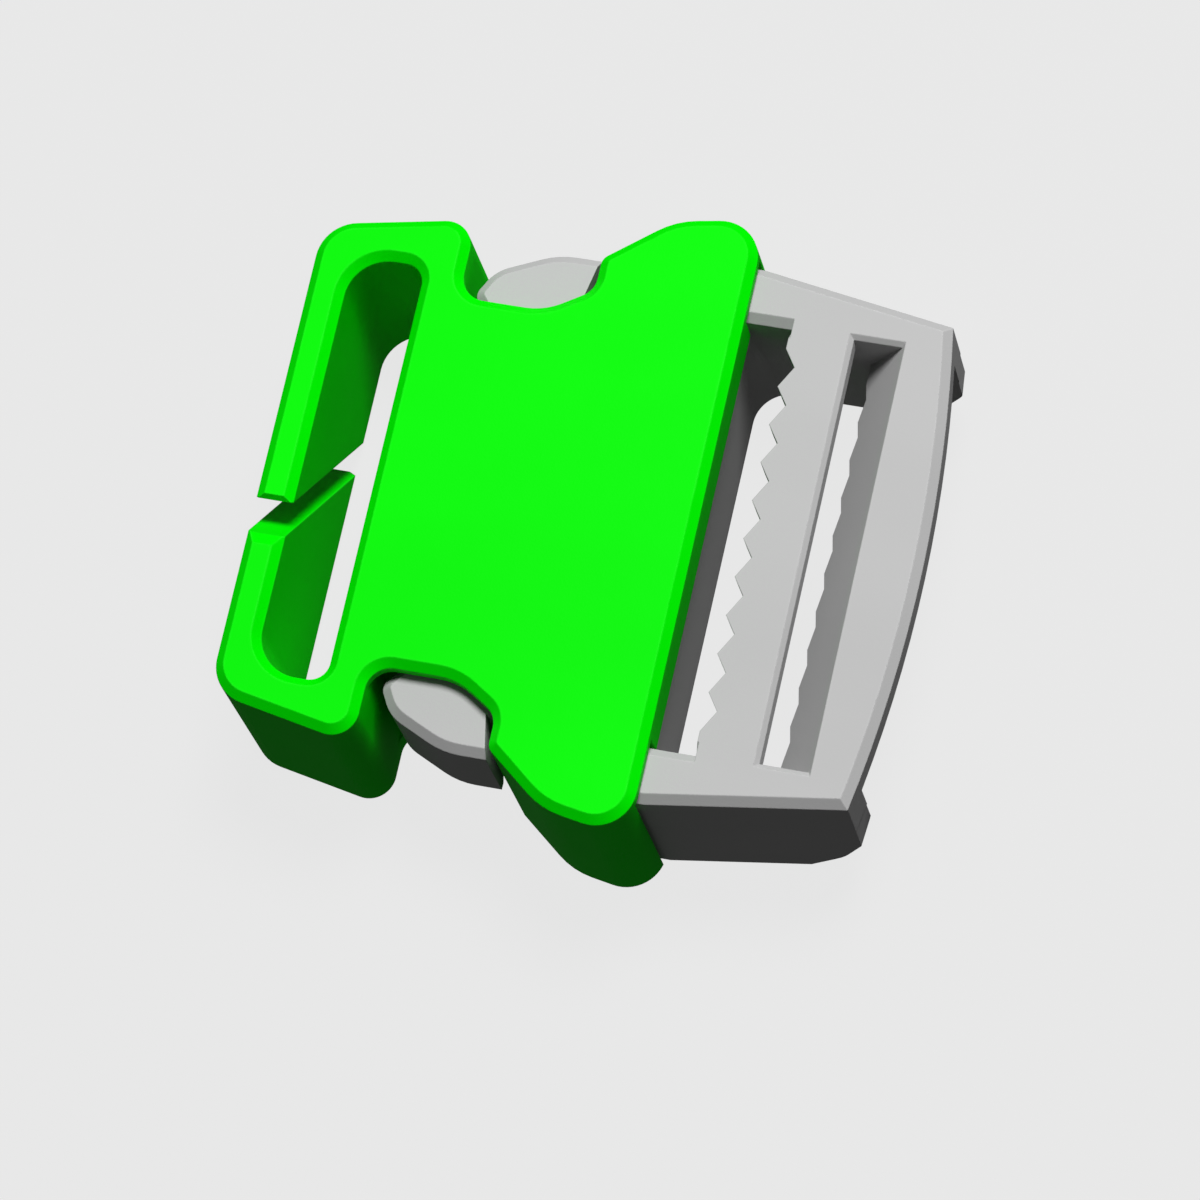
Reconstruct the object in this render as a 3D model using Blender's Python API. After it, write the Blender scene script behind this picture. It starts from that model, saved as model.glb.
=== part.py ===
"""Side release buckle for 25 mm webbing, closed.

Two mouldings lie flat on their backs. The socket is a shallow hollow shell with a split
webbing bar at its closed end. The plug is a ladder frame with two bars for adjustable
webbing, and two sprung prongs that show in the side windows of the socket.

Metres, +Z up. +X runs from the socket's webbing bar to the plug's outer bar, Y runs
across the buckle, and Z is up out of its top face. The origin is on the underside, below
the middle of the bounding box.
"""
import math

import bpy
import bmesh
from mathutils import Matrix, Vector

MM = 0.001

# Overall sizes
LENGTH = 40.0 * MM
HALF_LENGTH = LENGTH / 2
SOCKET_TOP = 13.9 * MM
PLUG_TOP = 12.4 * MM
EDGE_CHAMFER = 0.55 * MM
ARC_STEP = math.radians(7)
OVER = 1 * MM
FAR = 5 * MM

# Socket: places along X, then half widths
MOUTH_X = 6.55 * MM
LOBE_X = -10.8 * MM
WINDOW_LEFT = -10.5 * MM
WINDOW_RIGHT = -2.6 * MM
PLATE_THICKNESS = 1.2 * MM
FLOOR_THICKNESS = 2.0 * MM
CAVITY_END_X = -11.7 * MM
CAVITY_END_HALF = 11.2 * MM
LANE_HALF = 13.65 * MM
MOUTH_HALF = 17.3 * MM
MOUTH_POCKET_X = 3.0 * MM
MOUTH_STEP = 0.5 * MM
LIP_HALF = 13.2 * MM
LIP_X = 4.7 * MM
LIP_BOTTOM = 10.6 * MM
FLOOR_NOTCH_X = 4.55 * MM

# Webbing slot in the socket, and the slanted slit through its outer bar
SLOT_LEFT = -17.7 * MM
SLOT_RIGHT = -13.2 * MM
SLOT_HALF = 13.3 * MM
SLOT_OUTER_RADIUS = 2.6 * MM
SLOT_INNER_RADIUS = 1.2 * MM
SLIT_WIDTH = 2.15 * MM
SLIT_TOP_Y = -4.1 * MM
SLIT_BOTTOM_Y = 5.1 * MM
SLIT_CHAMFER = 0.5 * MM
SLIT_CHAMFER_PAST = 1.3

# Plug frame
RAIL_START_X = 6.8 * MM
RAIL_HALF = 16.95 * MM
RAIL_END_X = 18.7 * MM
RAIL_END_HALF = 15.2 * MM
RAIL_CHAMFER = 0.4 * MM
RAIL_INNER_HALF = 12.9 * MM
PLATE_BOTTOM = 7.0 * MM
BOW_STEPS = 16
SEAM_STEP = 0.03 * MM
RAIL_END_STEP = 0.05 * MM
RAIL_INNER_END_X = 19.04 * MM
BASE_X = 3.4 * MM
BASE_BOTTOM = 2.35 * MM
BRIDGE_TOP = 10.2 * MM
BRIDGE_X = 5.75 * MM
FOOT_X = 4.9 * MM
OPEN_HALF = 13.4 * MM
SLOT_ONE_HALF = 13.5 * MM
SLOT_ONE_LOW_RADIUS = 2.4 * MM
SLOT_ONE_HIGH_RADIUS = 0.2 * MM
SLOT_TWO_LEFT = 12.9 * MM
SLOT_TWO_RIGHT = 16.1 * MM
SLOT_TWO_CHAMFER = 0.3 * MM
SLOT_END_OVER = 0.1 * MM
WEDGE_CLEAR = 0.1 * MM

# Teeth of the two gripping edges
TOOTH_COUNT = 10
TOOTH_PITCH = 2.42 * MM
TOOTH_TIP_X = 9.2 * MM
TOOTH_DEPTH = 0.75 * MM
LIP_TOOTH_TIP_X = 13.6 * MM
LIP_TOOTH_DEPTH = 0.28 * MM
LIP_TOOTH_BACK_X = 12.9 * MM
TOOTH_SLOPE = 0.45
TOOTH_LOW = 6.8 * MM
LIP_TOOTH_HIGH = 9.0 * MM

# Prongs
PRONG_BOTTOM = 5.4 * MM
TONGUE_HALF = 1.5 * MM
TONGUE_END_X = -9.0 * MM
TONGUE_LOW = 4.5 * MM
TONGUE_HIGH = 8.5 * MM

# Half outlines as corners: x, y, fillet radius, in millimetres
SOCKET_CORNERS = [
    (-20.0, 15.0, 2.5),
    (-10.8, 16.75, 1.6),
    (-10.8, 11.75, 1.5),
    (-5.5, 11.75, 4.0),
    (-2.75, 13.5, 1.4),
    (-2.75, 15.57, 0.8),
    (1.15, 18.65, 5.0),
    (6.55, 19.57, 2.4),
]
PRONG_CORNERS = [
    (4.2, 15.9, 0.0),
    (-5.7, 15.9, 5.0),
    (-9.3, 14.25, 2.5),
    (-10.25, 12.5, 0.8),
    (-9.0, 11.0, 0.8),
    (4.2, 11.3, 0.0),
]
# Plan of what is cut from a prong behind its slanted shoulder
SHOULDER_CORNERS = [
    (5.2, 13.3, 0.0),
    (-3.55, 13.3, 0.0),
    (-2.6, 18.0, 0.0),
    (5.2, 18.0, 0.0),
]
# Side view of the rounded rail end, x and z
NOSE_CORNERS = [
    (19.15, 13.0, 0.0),
    (19.15, 5.4, 4.0),
    (17.4, 2.1, 3.0),
    (14.1, -0.5, 0.0),
    (13.2, -1.0, 0.0),
    (24.0, -1.0, 0.0),
    (24.0, 13.0, 0.0),
]
# Side view of all that is open between the rails, right of the toothed edge, x and z
BAR_GAP_CORNERS = [
    (9.2, -1.0, 0.0),
    (9.2, 10.3, 0.0),
    (9.7, 9.6, 0.0),
    (12.2, 9.6, 0.0),
    (13.1, 11.3, 0.0),
    (13.1, 12.05, 0.0),
    (12.1, 13.05, 0.0),
    (16.58, 13.05, 0.0),
    (13.6, 8.1, 0.0),
    (14.1, 7.6, 0.0),
    (17.4, 10.2, 0.0),
    (24.0, 10.6, 0.0),
    (24.0, -1.0, 0.0),
]


def rounded(corners):
    """Points of a closed outline whose corners are rounded with arcs of the given radii."""
    points = []
    count = len(corners)
    for index, (x, y, radius) in enumerate(corners):
        corner = Vector((x, y))
        if radius <= 0:
            points.append((x, y))
            continue
        before = Vector(corners[index - 1][:2]) - corner
        after = Vector(corners[(index + 1) % count][:2]) - corner
        before.normalize()
        after.normalize()
        inside = before.angle(after)
        reach = radius / math.tan(inside / 2)
        start = corner + before * reach
        end = corner + after * reach
        centre = corner + (before + after).normalized() * (radius / math.sin(inside / 2))
        turn = math.pi - inside
        steps = max(1, round(turn / ARC_STEP))
        first = start - centre
        sign = 1 if first.x * (end - centre).y - first.y * (end - centre).x > 0 else -1
        for step in range(steps + 1):
            angle = sign * turn * step / steps
            across = Vector((first.x * math.cos(angle) - first.y * math.sin(angle),
                             first.x * math.sin(angle) + first.y * math.cos(angle)))
            points.append(tuple(centre + across))
    return points


def in_metres(corners):
    return [tuple(value * MM for value in corner) for corner in corners]


def both_halves(half):
    """Corners of a whole outline from those of its half at +Y."""
    return half + [(x, -y, radius) for x, y, radius in reversed(half)]


def add_object(name, mesh, collection):
    thing = bpy.data.objects.new(name, mesh)
    collection.objects.link(thing)
    return thing


def make_cutter(thing):
    thing.hide_render = True
    thing.display_type = "WIRE"
    return thing


def flat_solid(name, outlines, low, high, chamfer, collection, turn_up=False):
    """A plate from closed outlines: the first is its edge, the others are holes.

    The edges get a 45 degree chamfer. With turn_up the outlines are side views in X and Z,
    and low and high are the solid's ends along Y.
    """
    curve = bpy.data.curves.new(name, "CURVE")
    curve.dimensions = "2D"
    curve.fill_mode = "BOTH"
    curve.extrude = (high - low) / 2 - chamfer
    curve.bevel_depth = chamfer
    curve.bevel_resolution = 0
    curve.offset = -chamfer
    for outline in outlines:
        spline = curve.splines.new("POLY")
        spline.points.add(len(outline) - 1)
        for point, (x, y) in zip(spline.points, outline):
            point.co = (x, y, 0.0, 1.0)
        spline.use_cyclic_u = True
    holder = bpy.data.objects.new(name + "_curve", curve)
    collection.objects.link(holder)
    if turn_up:
        holder.rotation_euler = (math.pi / 2, 0.0, 0.0)
        holder.location = (0.0, (low + high) / 2, 0.0)
    else:
        holder.location = (0.0, 0.0, (low + high) / 2)
    bpy.context.view_layer.update()
    evaluated = holder.evaluated_get(bpy.context.evaluated_depsgraph_get())
    mesh = bpy.data.meshes.new_from_object(evaluated)
    mesh.name = name
    place = holder.matrix_world.copy()
    bpy.data.objects.remove(holder)
    bpy.data.curves.remove(curve)
    mesh.transform(place)
    weld(mesh)
    return add_object(name, mesh, collection)


def weld(mesh):
    """Join the loose caps of a filled curve, and turn every face outwards and flat."""
    work = bmesh.new()
    work.from_mesh(mesh)
    bmesh.ops.remove_doubles(work, verts=work.verts, dist=0.000002)
    bmesh.ops.recalc_face_normals(work, faces=work.faces)
    work.to_mesh(mesh)
    work.free()
    mesh.shade_flat()


def box(name, low, high, collection):
    """A box between two corners."""
    mesh = bpy.data.meshes.new(name)
    work = bmesh.new()
    bmesh.ops.create_cube(work, size=1.0)
    size = Vector(high) - Vector(low)
    middle = (Vector(high) + Vector(low)) / 2
    bmesh.ops.scale(work, vec=size, verts=work.verts)
    bmesh.ops.translate(work, vec=middle, verts=work.verts)
    work.to_mesh(mesh)
    work.free()
    return add_object(name, mesh, collection)


def combine(target, tool, operation):
    """Cut a solid from the target, or join one to it."""
    make_cutter(tool)
    step = target.modifiers.new(tool.name, "BOOLEAN")
    step.operation = operation
    step.object = tool


def cut(target, tool):
    combine(target, tool, "DIFFERENCE")


def join(target, tool):
    combine(target, tool, "UNION")


def plastic(name, colour, roughness):
    """A plain moulded plastic."""
    material = bpy.data.materials.new(name)
    material.use_nodes = True
    shader = material.node_tree.nodes["Principled BSDF"]
    shader.inputs["Base Color"].default_value = (*colour, 1.0)
    shader.inputs["Roughness"].default_value = roughness
    shader.inputs["Metallic"].default_value = 0.0
    return material


def socket_slot():
    """Outline of the webbing slot, with wider rounds on its outer side."""
    return rounded(both_halves([
        (SLOT_RIGHT, SLOT_HALF, SLOT_INNER_RADIUS),
        (SLOT_LEFT, SLOT_HALF, SLOT_OUTER_RADIUS),
    ]))


def make_socket(parts, cutters):
    """The hollow shell: an outline with its slot, less the cavity, windows and slit."""
    outline = rounded(both_halves(in_metres(SOCKET_CORNERS)))
    socket = flat_solid("socket", [outline, socket_slot()], 0.0, SOCKET_TOP,
                        EDGE_CHAMFER, parts)
    floor = FLOOR_THICKNESS
    ceiling = SOCKET_TOP - PLATE_THICKNESS
    beyond = HALF_LENGTH + FAR
    mouth = LIP_HALF + MOUTH_STEP
    cut(socket, box("lane_cutter", (LOBE_X, -LANE_HALF, floor),
                    (LIP_X, LANE_HALF, ceiling), cutters))
    cut(socket, box("lane_end_cutter", (CAVITY_END_X, -CAVITY_END_HALF, floor),
                    (LOBE_X + OVER, CAVITY_END_HALF, ceiling), cutters))
    cut(socket, box("window_cutter", (WINDOW_LEFT, -beyond, floor),
                    (WINDOW_RIGHT, beyond, ceiling), cutters))
    for low_y, high_y in ((-MOUTH_HALF, -LIP_HALF), (LIP_HALF, MOUTH_HALF)):
        cut(socket, box("pocket_cutter", (MOUTH_POCKET_X, low_y, floor),
                        (MOUTH_X + FAR, high_y, ceiling), cutters))
    cut(socket, box("mouth_cutter", (MOUTH_POCKET_X + MOUTH_STEP, -mouth, floor),
                    (MOUTH_X + FAR, mouth, LIP_BOTTOM), cutters))
    cut(socket, box("floor_notch_cutter", (FLOOR_NOTCH_X, -MOUTH_HALF, -OVER),
                    (MOUTH_X + FAR, MOUTH_HALF, floor + OVER), cutters))
    for tool in slit_cutters(cutters):
        cut(socket, tool)
    return socket


def leaning_slab(name, left, right, low, high, cutters):
    """A slab along X from its ends, each a height with the two places along Y there."""
    low_z, low_sides = low
    high_z, high_sides = high
    slab = box(name, (left, -OVER, low_z), (right, OVER, high_z), cutters)
    for vertex in slab.data.vertices:
        sides = low_sides if vertex.co.z < (low_z + high_z) / 2 else high_sides
        vertex.co.y = sides[0] if vertex.co.y < 0 else sides[1]
    return slab


def slit_cutters(cutters):
    """The slab of the slanted slit through the outer bar, and that of its top chamfers."""
    lean = (SLIT_BOTTOM_Y - SLIT_TOP_Y) / SOCKET_TOP
    half = SLIT_WIDTH / 2
    left = -HALF_LENGTH - OVER
    right = SLOT_LEFT + OVER

    def sides(height):
        middle = SLIT_BOTTOM_Y - lean * height
        return middle - half, middle + half

    low = (-OVER, sides(-OVER))
    high = (SOCKET_TOP + OVER, sides(SOCKET_TOP + OVER))
    slit = leaning_slab("slit_cutter", left, right, low, high, cutters)
    drop = SLIT_CHAMFER / math.hypot(1.0, lean)
    edge = sides(SOCKET_TOP)
    top = (edge[0] - SLIT_CHAMFER, edge[1] + SLIT_CHAMFER)
    foot = sides(SOCKET_TOP - drop)
    ends = []
    for reach in (SLIT_CHAMFER_PAST, -OVER / drop):
        height = SOCKET_TOP - drop * reach
        ends.append((height, [a + (b - a) * reach for a, b in zip(top, foot)]))
    chamfer = leaning_slab("slit_chamfer_cutter", left, right, ends[0], ends[1], cutters)
    return slit, chamfer


def frame_outline():
    """Plan of the plug frame: straight tapered sides and a bowed outer edge."""
    bow = HALF_LENGTH - RAIL_END_X
    radius = (RAIL_END_HALF ** 2 + bow ** 2) / (2 * bow)
    centre_x = HALF_LENGTH - radius
    half_angle = math.asin(RAIL_END_HALF / radius)
    arc = []
    for step in range(BOW_STEPS + 1):
        angle = half_angle * (1 - 2 * step / BOW_STEPS)
        arc.append((centre_x + radius * math.cos(angle), radius * math.sin(angle)))
    sides = [(BASE_X, RAIL_HALF), (RAIL_START_X, RAIL_HALF)]
    return sides + arc + [(x, -y) for x, y in reversed(sides)]


def zigzag(tip_x, depth, back_x):
    """Plan of a saw-tooth cutter: one notch for each tooth, with an uneven slope."""
    start = TOOTH_COUNT * TOOTH_PITCH / 2
    points = []
    for tooth in range(TOOTH_COUNT):
        top = start - tooth * TOOTH_PITCH
        points.append((tip_x, top))
        points.append((tip_x + depth, top - TOOTH_SLOPE * TOOTH_PITCH))
    points.append((tip_x, -start))
    points.append((back_x, -start))
    points.append((back_x, start))
    return points


def wedge_cutter(name, left, right, side, half, chamfer, cutters):
    """A square bar turned by 45 degrees, which chamfers the top edge of a slot's end.

    Its middle lies clear of the end wall, towards the slot and above the plug, so that
    only one of its faces meets the edge.
    """
    size = (chamfer + 2 * WEDGE_CLEAR) * math.sqrt(0.5)
    bar = box(name, (left, -size, -size), (right, size, size), cutters)
    place = Matrix.Translation((0.0, side * (half - WEDGE_CLEAR), PLUG_TOP + WEDGE_CLEAR))
    bar.data.transform(place @ Matrix.Rotation(math.radians(45), 4, "X"))
    return bar


def make_rail(side, cutters):
    """One deep side rail of the frame, whose end is rounded up from the underside."""
    start_x = BASE_X + RAIL_END_STEP
    plan = [
        (start_x, RAIL_INNER_HALF),
        (start_x, RAIL_HALF - SEAM_STEP),
        (RAIL_START_X, RAIL_HALF - SEAM_STEP),
        (RAIL_END_X - SEAM_STEP, RAIL_END_HALF - SEAM_STEP),
        (RAIL_INNER_END_X - SEAM_STEP, RAIL_INNER_HALF),
    ]
    name = "left_rail" if side > 0 else "right_rail"
    rail = flat_solid(name, [[(x, side * y) for x, y in plan]], 0.0,
                      PLUG_TOP - EDGE_CHAMFER, RAIL_CHAMFER, cutters)
    wide = RAIL_HALF + FAR
    cut(rail, flat_solid("nose_cutter", [rounded(in_metres(NOSE_CORNERS))],
                         -wide, wide, 0.0, cutters, turn_up=True))
    return rail


def make_prong(side, cutters):
    """One sprung arm with its pointed head, whose shoulder catches behind a window."""
    name = "left_prong" if side > 0 else "right_prong"
    outline = [(x, side * y) for x, y in rounded(in_metres(PRONG_CORNERS))]
    behind = [(x, side * y) for x, y in rounded(in_metres(SHOULDER_CORNERS))]
    prong = flat_solid(name, [outline], PRONG_BOTTOM, PLUG_TOP, EDGE_CHAMFER, cutters)
    cut(prong, flat_solid("shoulder_cutter", [behind], PRONG_BOTTOM - OVER, PLUG_TOP + OVER,
                          0.0, cutters))
    return prong


def slot_one_cutter(cutters):
    """The slot beside the socket, whose corner fillets grow from the top to the underside."""
    rings = []
    for height, radius in ((-OVER, SLOT_ONE_LOW_RADIUS), (BRIDGE_TOP + OVER, SLOT_ONE_HIGH_RADIUS)):
        outline = rounded(both_halves([
            (TOOTH_TIP_X, SLOT_ONE_HALF, 0.0),
            (BRIDGE_X, SLOT_ONE_HALF, radius),
        ]))
        rings.append([(x, y, height) for x, y in outline])
    mesh = bpy.data.meshes.new("slot_one_cutter")
    work = bmesh.new()
    low, high = [[work.verts.new(point) for point in ring] for ring in rings]
    work.faces.new(low)
    work.faces.new(high)
    for index in range(len(low)):
        after = (index + 1) % len(low)
        work.faces.new((low[index], low[after], high[after], high[index]))
    bmesh.ops.recalc_face_normals(work, faces=work.faces)
    work.to_mesh(mesh)
    work.free()
    return add_object("slot_one_cutter", mesh, cutters)


def cut_slots(plug, cutters):
    """The two webbing slots, the open space under them and the teeth of their edges."""
    cut(plug, box("bridge_top_cutter", (BASE_X - OVER, -SLOT_ONE_HALF, BRIDGE_TOP),
                  (TOOTH_TIP_X, SLOT_ONE_HALF, PLUG_TOP + OVER), cutters))
    cut(plug, slot_one_cutter(cutters))
    cut(plug, flat_solid("bar_gap_cutter", [rounded(in_metres(BAR_GAP_CORNERS))],
                         -OPEN_HALF, OPEN_HALF, 0.0, cutters, turn_up=True))
    teeth = zigzag(TOOTH_TIP_X, TOOTH_DEPTH, BRIDGE_X + OVER)
    cut(plug, flat_solid("tooth_cutter", [teeth], TOOTH_LOW, PLUG_TOP + OVER, 0.0, cutters))
    lip_teeth = zigzag(LIP_TOOTH_TIP_X, LIP_TOOTH_DEPTH, LIP_TOOTH_BACK_X)
    cut(plug, flat_solid("lip_tooth_cutter", [lip_teeth], TOOTH_LOW, LIP_TOOTH_HIGH,
                         0.0, cutters))
    for side in (-1, 1):
        cut(plug, wedge_cutter("slot_one_chamfer", FOOT_X, TOOTH_TIP_X + SLOT_END_OVER,
                               side, SLOT_ONE_HALF, EDGE_CHAMFER, cutters))
        cut(plug, wedge_cutter("slot_two_chamfer", SLOT_TWO_LEFT, SLOT_TWO_RIGHT,
                               side, OPEN_HALF, SLOT_TWO_CHAMFER, cutters))


def make_plug(parts, cutters):
    """The ladder frame with its rails, bridge and foot, joined to the prongs."""
    plug = flat_solid("plug", [frame_outline()], PLATE_BOTTOM, PLUG_TOP, EDGE_CHAMFER, parts)
    for side in (-1, 1):
        join(plug, make_rail(side, cutters))
    bridge_half = OPEN_HALF + OVER
    join(plug, box("bridge", (BASE_X + 2 * SEAM_STEP, -bridge_half, 0.0),
                   (TOOTH_TIP_X - SLOT_END_OVER, bridge_half, BRIDGE_TOP), cutters))
    cut_slots(plug, cutters)
    wide = RAIL_HALF + FAR
    cut(plug, box("base_step_cutter", (BASE_X - OVER, -wide, -OVER),
                  (FOOT_X, wide, BASE_BOTTOM), cutters))
    for side in (-1, 1):
        join(plug, make_prong(side, cutters))
    join(plug, box("tongue", (TONGUE_END_X, -TONGUE_HALF, TONGUE_LOW),
                   (BASE_X + OVER, TONGUE_HALF, TONGUE_HIGH), cutters))
    return plug


def main():
    for thing in list(bpy.data.objects):
        bpy.data.objects.remove(thing, do_unlink=True)
    parts = bpy.data.collections.new("side_release_buckle")
    cutters = bpy.data.collections.new("cutters")
    bpy.context.scene.collection.children.link(parts)
    bpy.context.scene.collection.children.link(cutters)
    socket = make_socket(parts, cutters)
    socket.data.materials.append(plastic("green_plastic", (0.0, 0.8, 0.0), 0.45))
    plug = make_plug(parts, cutters)
    plug.data.materials.append(plastic("grey_plastic", (0.55, 0.55, 0.55), 0.45))
    bpy.context.view_layer.update()


main()
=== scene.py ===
# %% [markdown]
# # A closed side release buckle
#
# The object is a plastic buckle for webbing, lying on its flat back. A green socket takes a
# grey plug, whose sprung prongs show in the windows at its sides. Both halves are plain
# mouldings, so the work is in three things: smooth curves between crisp chamfers, a believable
# moulded plastic, and a light that tells top, slope and wall apart.
#
# The shapes were made in a CAD step and arrive here as a fixed frame. The first cell loads them.

import math

import bpy
import numpy as np
from mathutils import Matrix, Vector


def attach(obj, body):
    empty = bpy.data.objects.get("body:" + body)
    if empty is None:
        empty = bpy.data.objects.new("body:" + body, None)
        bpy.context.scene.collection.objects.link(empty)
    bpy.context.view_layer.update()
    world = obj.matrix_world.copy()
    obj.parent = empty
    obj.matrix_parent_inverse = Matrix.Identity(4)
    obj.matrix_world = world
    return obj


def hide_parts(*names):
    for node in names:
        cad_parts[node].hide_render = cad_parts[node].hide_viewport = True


MM = 0.001
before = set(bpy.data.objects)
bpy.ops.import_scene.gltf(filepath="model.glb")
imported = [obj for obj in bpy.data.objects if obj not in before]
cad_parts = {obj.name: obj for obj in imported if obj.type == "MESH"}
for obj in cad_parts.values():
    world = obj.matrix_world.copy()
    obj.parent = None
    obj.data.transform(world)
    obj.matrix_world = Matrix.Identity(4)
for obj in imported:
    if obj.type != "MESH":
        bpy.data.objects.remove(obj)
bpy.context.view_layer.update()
print("nodes:", sorted(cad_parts))

# %% [markdown]
# ## The two mouldings
#
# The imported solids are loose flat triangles, which show every facet of a rounded corner. The
# real corners are smooth, while each chamfer keeps a crisp edge. Subdivision would round the
# chamfers too, and a new surface would only repeat a shape that is already right. So each
# moulding is a copy of its solid whose points are merged by their places. Its normals are then
# smoothed across small turns alone, with the large faces setting the direction, so a flat wall
# stays flat up to the line where its round corner begins.
#
# One thing is mended on the way. In the slot by the plug's outer bar the bevel of each end
# wall stops a little short of the bevels beside it. Where two bevels meet in a real mould they
# share a mitre, so the few points in those corners are drawn together onto it.

# %% Draw the corners of a slot to mitres
CORNER_REACH = 0.62 * MM
HEIGHT_WEIGHT = 3.0

# The slot by the outer bar: its rim, its end walls, their bevel, the edges of the middle bar
# and of the gripping face on the rim, and how far that face leans for its drop.
SLOT_RIM = 12.4 * MM
SLOT_END = 13.4 * MM
BEVEL = 0.3 * MM
BAR_EDGE = 12.75 * MM
GRIP_EDGE = 16.189 * MM
GRIP_LEAN = 0.602
SLOT_CORNERS = np.array([
    [BAR_EDGE, SLOT_END + BEVEL, SLOT_RIM],
    [BAR_EDGE + BEVEL, SLOT_END, SLOT_RIM - BEVEL],
    [GRIP_EDGE, SLOT_END + BEVEL, SLOT_RIM],
    [GRIP_EDGE - GRIP_LEAN * BEVEL, SLOT_END, SLOT_RIM - BEVEL]])


def mitred(places):
    """Places with the four top corners of the slot by the outer bar drawn to clean mitres.

    There the solid has steps of a few tenths of a millimetre. A place whose distance to the
    nearest corner of the mitres is less than the reach moves onto that corner. Height counts
    more than width in the distance, so the rim stays on top. The corners are given for one
    side of the plug, and serve the other by the sign of Y.
    """
    mirrored = places * [1, 0, 1] + np.abs(places) * [0, 1, 0]
    offsets = (mirrored[:, None] - SLOT_CORNERS) * [1, 1, HEIGHT_WEIGHT]
    distances = np.linalg.norm(offsets, axis=2)
    corners = SLOT_CORNERS[distances.argmin(axis=1)]
    corners[:, 1] = np.copysign(corners[:, 1], places[:, 1])
    near = distances.min(axis=1) < CORNER_REACH
    print(near.sum(), "points drawn to a mitre")
    return np.where(near[:, None], corners, places)


# %% Merge the points of a solid
MERGE_STEP = 0.001 * MM
SMOOTH_ANGLE = math.radians(24)
LARGE_FACE_WEIGHT = 80


def merged_arrays(node):
    """Places and triangles of a node, with equal places made one.

    Each place is rounded to a step far below any detail, and equal rows become one row.
    A triangle then points at the rows that its old corners fell into, and is left out
    where two of them are the same.
    """
    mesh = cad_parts[node].data
    places = np.empty(len(mesh.vertices) * 3)
    mesh.vertices.foreach_get("co", places)
    places = mitred(places.reshape(-1, 3))
    mesh.calc_loop_triangles()
    corners = np.empty(len(mesh.loop_triangles) * 3, dtype=np.int32)
    mesh.loop_triangles.foreach_get("vertices", corners)
    steps = np.round(places / MERGE_STEP).astype(np.int64)
    _, first, row = np.unique(steps, axis=0, return_index=True, return_inverse=True)
    triangles = row.reshape(-1)[corners].reshape(-1, 3)
    a, b, c = triangles.T
    whole = (a != b) & (b != c) & (c != a)
    return places[first], triangles[whole]


def moulding(name, node):
    """A smooth-shaded copy of a solid, which stands for it on the one body."""
    places, triangles = merged_arrays(node)
    mesh = bpy.data.meshes.new(name)
    mesh.from_pydata(places, [], triangles)
    mesh.update()
    mesh.shade_smooth()
    mesh.set_sharp_from_angle(angle=SMOOTH_ANGLE)
    piece = bpy.data.objects.new(name, mesh)
    bpy.context.scene.collection.objects.link(piece)
    weighting = piece.modifiers.new("large faces lead", "WEIGHTED_NORMAL")
    weighting.mode = "FACE_AREA"
    weighting.keep_sharp = True
    weighting.weight = LARGE_FACE_WEIGHT
    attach(piece, "root")
    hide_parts(node)
    print(name, len(places), "points,", len(triangles), "triangles")
    return piece


# %% Make both mouldings
socket_shell = moulding("socket_shell", "socket")
plug_frame = moulding("plug_frame", "plug")

# %% [markdown]
# ## Shader sums as plain expressions
#
# A material is a set of sums on sockets. Written out as nodes they are long and hard to
# read, so one small class wraps a socket and lets the usual signs add the Math nodes. One
# method adds any other node from its type, its settings and what goes into its sockets.

# %% A small class for shader sums


class Sum:
    """A number that varies over a surface: the output socket of a node."""

    def __init__(self, tree, socket):
        self.tree = tree
        self.socket = socket

    def maths(self, operation, *values):
        return self.tree.add("ShaderNodeMath", {"operation": operation}, dict(enumerate(values)))

    def __add__(self, other):
        return self.maths("ADD", self, other)

    def __radd__(self, other):
        return self.maths("ADD", other, self)

    def __sub__(self, other):
        return self.maths("SUBTRACT", self, other)

    def __rsub__(self, other):
        return self.maths("SUBTRACT", other, self)

    def __mul__(self, other):
        return self.maths("MULTIPLY", self, other)

    def __rmul__(self, other):
        return self.maths("MULTIPLY", other, self)

    def within(self, low, high):
        """0 below low, 1 above high, and a smooth rise between."""
        settings = {"interpolation_type": "SMOOTHSTEP"}
        values = {"Value": self, "From Min": low, "From Max": high}
        return self.tree.add("ShaderNodeMapRange", settings, values)


class Tree:
    """The nodes of one material."""

    def __init__(self, name):
        self.material = bpy.data.materials.new(name)
        self.material.use_nodes = True
        self.nodes = self.material.node_tree.nodes
        self.links = self.material.node_tree.links
        self.shader = self.nodes["Principled BSDF"]

    def feed(self, socket, value):
        """A link from another node, or a plain value."""
        if isinstance(value, Sum):
            self.links.new(value.socket, socket)
        else:
            socket.default_value = value

    def add(self, kind, settings, values, output=0):
        """A new node: its type, its settings, the values or links of its sockets, an output."""
        node = self.nodes.new(kind)
        for setting, choice in settings.items():
            setattr(node, setting, choice)
        for title, value in values.items():
            self.feed(node.inputs[title], value)
        return Sum(self, node.outputs[output])

    def blend(self, share, first, second):
        """A colour between two colours, whose sockets are the sixth and seventh of the node."""
        return self.add("ShaderNodeMix", {"data_type": "RGBA"},
                        {0: share, 6: first, 7: second}, output=2)

    def noise(self, place, scale, detail=2.0, roughness=0.5):
        """Soft cloudy noise, from 0 to 1, with about scale blobs to the metre."""
        return self.add("ShaderNodeTexNoise", {"noise_dimensions": "3D"},
                        {"Vector": place, "Scale": scale, "Detail": detail,
                         "Roughness": roughness})

    def surface(self, **named):
        """Feeds the sockets of the shader itself."""
        for title, value in named.items():
            self.feed(self.shader.inputs[title.replace("_", " ")], value)


print("shader helpers ready")

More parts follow.
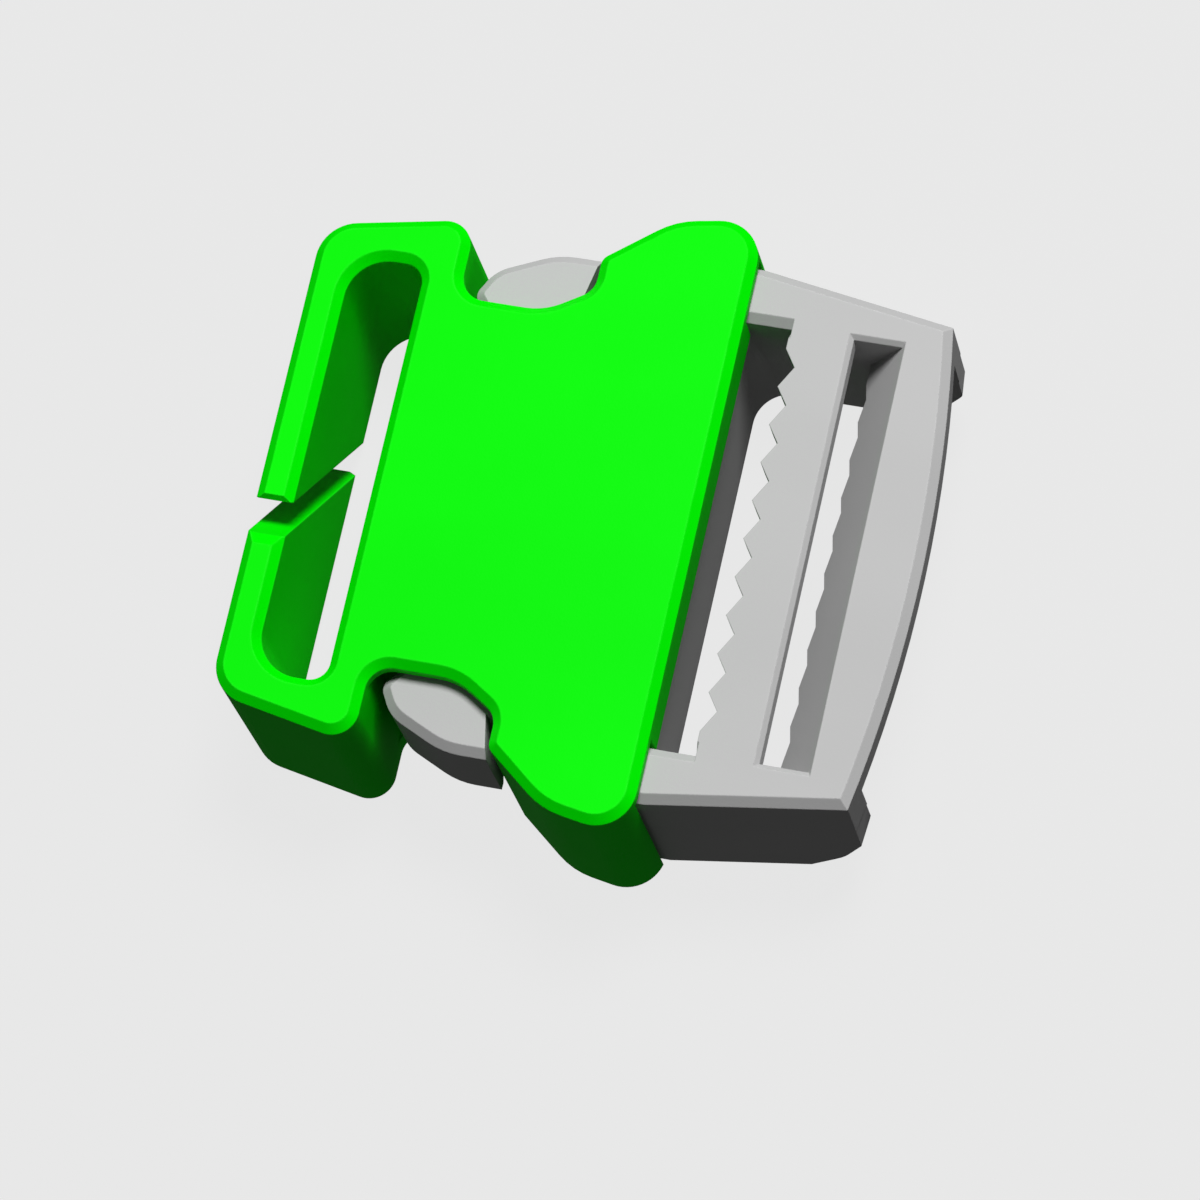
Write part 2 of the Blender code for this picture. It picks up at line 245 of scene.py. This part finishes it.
# %% [markdown]
# ## Moulded plastic
#
# Such buckles are moulded in acetal, a waxy plastic that takes the fine matt grain of the
# steel mould. Seen close it isn't one flat colour: the grain breaks up the gloss, the melt
# leaves wide faint streaks along its way through the mould, and handling polishes the edges
# to a slightly paler, smoother line. The edge line is found by comparing the true normal with
# one that is rounded over a fifth of a millimetre, so it needs no painting by hand.

# %% Make a moulded plastic
GRAIN_SCALE = 9000.0
GRAIN_HEIGHT = 0.012 * MM
ORANGE_PEEL_SCALE = 900.0
ORANGE_PEEL_HEIGHT = 0.006 * MM
STREAK_SCALE = 55.0
STREAK_STRETCH = (0.35, 1.0, 1.0)
SCUFF_SCALE = 420.0
EDGE_RADIUS = 0.12 * MM
WEAR_RADIUS = 0.22 * MM
WEAR_TURN = (0.005, 0.09)
WEAR_PALENESS = 0.55
GRAIN_ROUGHNESS = 0.16
SCUFF_ROUGHNESS = 0.06
WEAR_POLISH = 0.1
BEVEL_SAMPLES = 4
PLASTIC_IOR = 1.48
PLASTIC_SPECULAR = 0.04


def moulded_plastic(name, deep, usual, worn, gloss):
    """Plastic with grain, faint flow streaks and polished edges.

    The colour goes from deep to usual with the streaks, then towards worn on the edges. The
    roughness is gloss, more in the grain and less on the edges.
    """
    tree = Tree(name)
    place = tree.add("ShaderNodeTexCoord", {}, {}, output=3)
    along = tree.add("ShaderNodeMapping", {}, {"Vector": place, "Scale": STREAK_STRETCH})
    streaks = tree.noise(along, STREAK_SCALE, detail=3.0).within(0.3, 0.7)
    peel = tree.noise(place, ORANGE_PEEL_SCALE, detail=1.0)
    grain = tree.noise(place, GRAIN_SCALE, detail=2.0, roughness=0.6)
    scuffs = tree.noise(place, SCUFF_SCALE, detail=4.0, roughness=0.7)

    rounded = tree.add("ShaderNodeBevel", {"samples": BEVEL_SAMPLES}, {"Radius": WEAR_RADIUS})
    true = tree.add("ShaderNodeNewGeometry", {}, {}, output=1)
    same = tree.add("ShaderNodeVectorMath", {"operation": "DOT_PRODUCT"},
                    {0: rounded, 1: true}, output=1)
    edge = (1.0 - same).within(*WEAR_TURN) * scuffs.within(0.25, 0.6)

    colour = tree.blend(streaks, deep, usual)
    colour = tree.blend(edge * WEAR_PALENESS, colour, worn)
    roughness = (gloss + (grain - 0.5) * GRAIN_ROUGHNESS + (scuffs - 0.5) * SCUFF_ROUGHNESS
                 - edge * WEAR_POLISH)

    soft_edge = tree.add("ShaderNodeBevel", {"samples": BEVEL_SAMPLES}, {"Radius": EDGE_RADIUS})
    height = grain * GRAIN_HEIGHT + peel * ORANGE_PEEL_HEIGHT
    bump = tree.add("ShaderNodeBump", {}, {"Height": height, "Distance": 1.0,
                                           "Strength": 0.5, "Normal": soft_edge})
    tree.surface(Base_Color=colour, Roughness=roughness, Normal=bump)
    tree.surface(IOR=PLASTIC_IOR, Specular_IOR_Level=PLASTIC_SPECULAR)
    print(name, len(tree.nodes), "nodes")
    return tree.material


# %% Give each moulding its plastic
GREEN_DEEP = (0.0, 0.74, 0.0, 1.0)
GREEN_USUAL = (0.0, 0.8, 0.0, 1.0)
GREEN_WORN = (0.02, 0.86, 0.02, 1.0)
GREY_DEEP = (0.42, 0.42, 0.42, 1.0)
GREY_USUAL = (0.445, 0.445, 0.445, 1.0)
GREY_WORN = (0.52, 0.52, 0.52, 1.0)
SATIN = 0.5

green_plastic = moulded_plastic("green_plastic_moulded", GREEN_DEEP, GREEN_USUAL,
                                GREEN_WORN, SATIN)
grey_plastic = moulded_plastic("grey_plastic_moulded", GREY_DEEP, GREY_USUAL,
                               GREY_WORN, SATIN)
socket_shell.data.materials.append(green_plastic)
plug_frame.data.materials.append(grey_plastic)

# %% [markdown]
# ## The floor
#
# The photograph's ground is an even pale grey that also shows through the slots, as on a
# light table. A plain white floor would do it in the open, but would go dark under the
# buckle, and would throw so much light back up that the walls lost their depth. So the floor
# gives off nearly all of its own pale tone, takes only a faint soft shadow, and is hidden from
# the rays that light the plastic.

# %% Lay the floor
FLOOR_RADIUS = 3.0
FLOOR_RINGS = 24
FLOOR_SPOKES = 96
FLOOR_TONE = 0.803
FLOOR_GLOW = 0.97


def disc_surface(radius, rings, spokes):
    """A flat disc: a point at share r of the radius and turn a is (r cos a, r sin a, 0).

    The rings crowd towards the middle, as the square of their number.
    """
    share = (np.arange(1, rings + 1) / rings) ** 2 * radius
    turn = np.arange(spokes) / spokes * 2 * np.pi
    places = np.zeros((rings * spokes + 1, 3))
    places[1:, 0] = np.outer(share, np.cos(turn)).ravel()
    places[1:, 1] = np.outer(share, np.sin(turn)).ravel()
    ring = np.arange(rings - 1)[:, None] * spokes + 1
    here = np.arange(spokes)[None, :]
    after = (here + 1) % spokes
    quads = np.stack([ring + here, ring + spokes + here, ring + spokes + after,
                      ring + after], axis=-1).reshape(-1, 4)
    fan = np.stack([np.zeros(spokes, int), 1 + here[0], 1 + after[0]], axis=-1)
    return places, fan.tolist() + quads.tolist()


places, faces = disc_surface(FLOOR_RADIUS, FLOOR_RINGS, FLOOR_SPOKES)
floor_mesh = bpy.data.meshes.new("floor")
floor_mesh.from_pydata(places, [], faces)
floor = bpy.data.objects.new("floor", floor_mesh)
bpy.context.scene.collection.objects.link(floor)

floor_tree = Tree("pale_floor")
tone = (FLOOR_TONE * (1 - FLOOR_GLOW),) * 3 + (1.0,)
floor_tree.surface(Base_Color=tone, Roughness=0.9, Specular_IOR_Level=0.0,
                   Emission_Color=(1.0, 1.0, 1.0, 1.0), Emission_Strength=FLOOR_TONE * FLOOR_GLOW)
floor_mesh.materials.append(floor_tree.material)
floor.visible_diffuse = False
floor.visible_glossy = False
print("floor:", len(faces), "faces")

# %% [markdown]
# ## Soft light
#
# In the photograph the tops are bright, the chamfers step down in two tones, and the walls
# towards the viewer are dark, while the slanted face of the slit, which looks away from the
# viewer, is as bright as the top. That is one broad light high above, leaning to +Y and a
# little to +X, with a weak even fill. The light is an area lamp that is large for the object,
# which keeps the shadows soft.

# %% Hang the lights
KEY_FROM = Vector((0.133, 0.34, 0.93)).normalized()
KEY_DISTANCE = 0.9
KEY_SIZE = 0.34
KEY_POWER = 10.2
FILL = 0.07

lamp = bpy.data.lights.new("key", "AREA")
lamp.shape = "DISK"
lamp.size = KEY_SIZE
lamp.energy = KEY_POWER
key = bpy.data.objects.new("key", lamp)
key.location = KEY_FROM * KEY_DISTANCE
key.rotation_euler = KEY_FROM.to_track_quat("Z", "Y").to_euler()
bpy.context.scene.collection.objects.link(key)

world = bpy.data.worlds.new("fill")
world.use_nodes = True
background = world.node_tree.nodes["Background"]
background.inputs["Color"].default_value = (1.0, 1.0, 1.0, 1.0)
background.inputs["Strength"].default_value = FILL
bpy.context.scene.world = world
print("key light", KEY_POWER, "W, fill", FILL)

# %% [markdown]
# ## The camera
#
# The photograph looks down from about 70 degrees above the floor, from the side of the grey
# plug, and is turned a little. It was taken with a long lens, so the far end of the buckle is
# hardly smaller than the near one. The camera's own axes were worked out from the slots and
# edges in the picture.

# %% Place the camera
CAMERA_PLACE = Vector((91.85, -130.23, 426.33)) * MM
CAMERA_RIGHT = Vector((0.9656, 0.2159, -0.1453))
CAMERA_UP = Vector((-0.1612, 0.9345, 0.3174))
LENS = 224.5
SENSOR = 36.0

right = CAMERA_RIGHT.normalized()
back = right.cross(CAMERA_UP).normalized()
up = back.cross(right)
lens = bpy.data.cameras.new("camera")
lens.lens = LENS
lens.sensor_width = SENSOR
lens.clip_start = 0.02
lens.clip_end = 10.0
camera = bpy.data.objects.new("camera", lens)
turn = Matrix((right, up, back)).transposed().to_4x4()
camera.matrix_world = Matrix.Translation(CAMERA_PLACE) @ turn
bpy.context.scene.collection.objects.link(camera)
bpy.context.scene.camera = camera
bpy.context.scene.view_settings.view_transform = "Standard"
bpy.context.scene.view_settings.look = "None"
print("camera", round(math.degrees(math.asin(back.z)), 1), "degrees above the floor")
